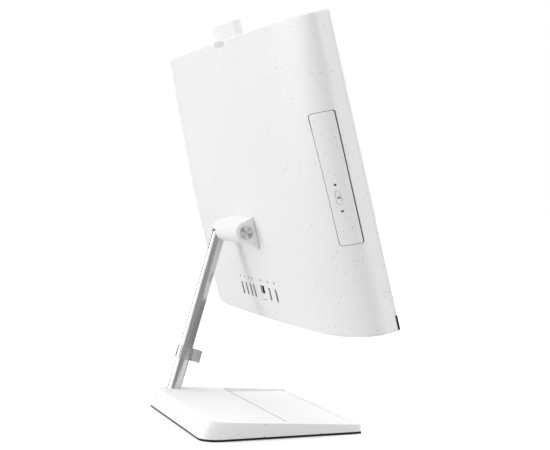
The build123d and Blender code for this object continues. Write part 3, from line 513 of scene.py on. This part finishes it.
def lan_contacts(shape):
    """Eight sprung wires that come down from the roof of the network socket as they run inwards."""
    pitch, length, drop, sunk = 1.02, 7.5, 2.6, 3.0
    width, thick = 0.42 * MM, 0.30 * MM
    roof = 4.0
    steps = 12
    across, up, into = reach("lan_jack")
    for wire in range(8):
        u = sum(across) / 2 + (wire - 3.5) * pitch
        path = []
        for step in range(steps + 1):
            share = step / steps
            v = sum(up) / 2 + roof - drop * share ** 1.4
            path.append(at(u, v, into[1] - sunk - share * length))
        sweep(shape, path, width, thick, ACROSS)


def lens_dome(shape):
    """Front element of the camera's lens: a shallow dome."""
    radius, depth, lift = 2.5, 0.8, 0.15
    ring_count, count = 6, 28
    across, up, into = reach("camera_lens")
    v_mid = sum(up) / 2
    n_top = into[0] + lift
    top = shape.verts.new(at(0, v_mid, n_top))
    rings = []
    for ring in range(1, ring_count + 1):
        share = ring / ring_count
        circle = []
        for k in range(count):
            turn = k * math.tau / count
            u = radius * share * math.cos(turn)
            v = v_mid + radius * share * math.sin(turn)
            circle.append(shape.verts.new(at(u, v, n_top + depth * share ** 2)))
        rings.append(circle)
    for k in range(count):
        shape.faces.new((top, rings[0][k], rings[0][(k + 1) % count]))
    for inner, outer in zip(rings, rings[1:]):
        join_rings(shape, outer, inner)


def surface_tree(node):
    """A node's surface, ready for ray casts."""
    return BVHTree.FromObject(nodes[node], bpy.context.evaluated_depsgraph_get())


def on_near_side(tree, v, n, lift=0.0):
    """The point of the near side at this height and depth, lifted off it by some millimetres."""
    start = at(-400, v, n)
    hit = tree.ray_cast(start, ACROSS)
    return hit[0] - ACROSS * lift * MM


def eject_mark(shape):
    """Small raised dot in the middle of the curved eject button."""
    v_mid, n_mid, radius = 138.5, 28.2, 1.1
    foot_lift, top_lift = -0.05, 0.03
    count = 24
    tree = surface_tree("eject_button")
    rings = []
    for lift in (foot_lift, top_lift):
        ring = []
        for k in range(count):
            turn = k * math.tau / count
            v = v_mid + radius * math.sin(turn)
            n = n_mid + radius * math.cos(turn)
            ring.append(shape.verts.new(on_near_side(tree, v, n, lift)))
        rings.append(ring)
    low, high = rings
    shape.faces.new(high)
    shape.faces.new(reversed(low))
    join_rings(shape, low, high)


def tray_step_painted_shade(shape):
    """Fine dark line along the upper edge of the step down to the base's tray: painted shade standing in
    for the shading of that rounded edge.
    """
    behind_step = -1.9 * MM
    corner = 9 * MM
    width, thick = 1.3 * MM, 0.1 * MM
    slope = math.radians(3.81)
    steps = 12
    tree = surface_tree("base_cover")
    low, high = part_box("base_cover")
    length = high.x - low.x - 2 * corner
    path = []
    for step in range(steps + 1):
        x = low.x + corner + length * step / steps
        hit = tree.ray_cast(Vector((x, behind_step, 0.1)), Vector((0, 0, -1)))
        path.append(hit[0])
    uphill = Vector((0, math.cos(slope), math.sin(slope)))
    sweep(shape, path, width, thick, uphill)


def drive_seam_painted_shade(shape):
    """Dark strip in the rubber finish, set down in the seam round the disc drive's front as painted shade
    for the shadow in that gap, wider towards the screen.
    """
    front_n, back_n = 19.2, 31.8
    low_v, high_v = 94.2, 218.8
    corner, inner, outer = 1.9, 2.24, 2.60
    front_extra = 0.95
    upper, lower = 1.1, 2.0
    steps = 8
    tree = surface_tree("drive_bezel")
    corners = ((back_n, high_v, 0), (front_n, high_v, 90), (front_n, low_v, 180), (back_n, low_v, 270))
    rings = ([], [], [], [])
    widens = -0.2
    for n_mid, v_mid, start in corners:
        for step in range(steps + 1):
            turn = math.radians(start + step * 90 / steps)
            way_n = math.cos(turn)
            way_v = math.sin(turn)
            on_bezel = on_near_side(tree, v_mid + corner * way_v, n_mid + corner * way_n)
            depth = (on_bezel - HEAD).dot(ACROSS) / MM
            edge = outer - front_extra * way_n if way_n < widens else outer
            profile = ((inner, upper), (edge, upper), (edge, lower), (inner, lower))
            for ring, (reached, sunk) in zip(rings, profile):
                point = at(depth + sunk, v_mid + reached * way_v, n_mid + reached * way_n)
                ring.append(shape.verts.new(point))
    for first, second in zip(rings, rings[1:] + rings[:1]):
        join_rings(shape, first, second)


def build_pieces(materials):
    gold = materials["contact_gold"]
    paint(mesh_piece("usb_contacts", usb_contacts, "display"), gold)
    paint(mesh_piece("hdmi_contacts", hdmi_contacts, "display"), gold)
    paint(mesh_piece("lan_contacts", lan_contacts, "display"), gold)
    # The dark strip in the drive's seam is painted shade for the shadow in that gap.
    paint(mesh_piece("drive_seam_painted_shade", drive_seam_painted_shade, "display"), materials["rubber"])
    dome = mesh_piece("lens_dome", lens_dome, "camera")
    paint(dome, materials["dark_glass"])
    for face in dome.data.polygons:
        face.use_smooth = True
    paint(mesh_piece("eject_mark", eject_mark, "eject_button"), materials["port_black"])
    # The dark line along the tray step's edge is painted shade.
    paint(mesh_piece("tray_step_painted_shade", tray_step_painted_shade, "stand"), materials["panel_grey"])


def floor():
    """A flat sheet much wider than the machine."""
    half_side = 7.0
    shape = bmesh.new()
    bmesh.ops.create_grid(shape, x_segments=12, y_segments=12, size=half_side)
    mesh = bpy.data.meshes.new("floor")
    shape.to_mesh(mesh)
    shape.free()
    piece = bpy.data.objects.new("floor", mesh)
    scene.collection.objects.link(piece)
    paint(piece, pale_floor())


# ---------------------------------------------------------------- the scene

materials = make_materials()
for part in frame["record"]["subparts"]:
    paint(nodes[part["node"]], materials[part["material_slot"]])

build_pieces(materials)
floor()
add_camera()
add_world()
add_light("back_light", (0.9, 1.5, 0.45), (0.9, 0.7), 9.6)
add_light("side_light", (-2.0, -1.6, 1.3), (1.0, 1.0), 5.8)
scene.view_settings.view_transform = "Standard"
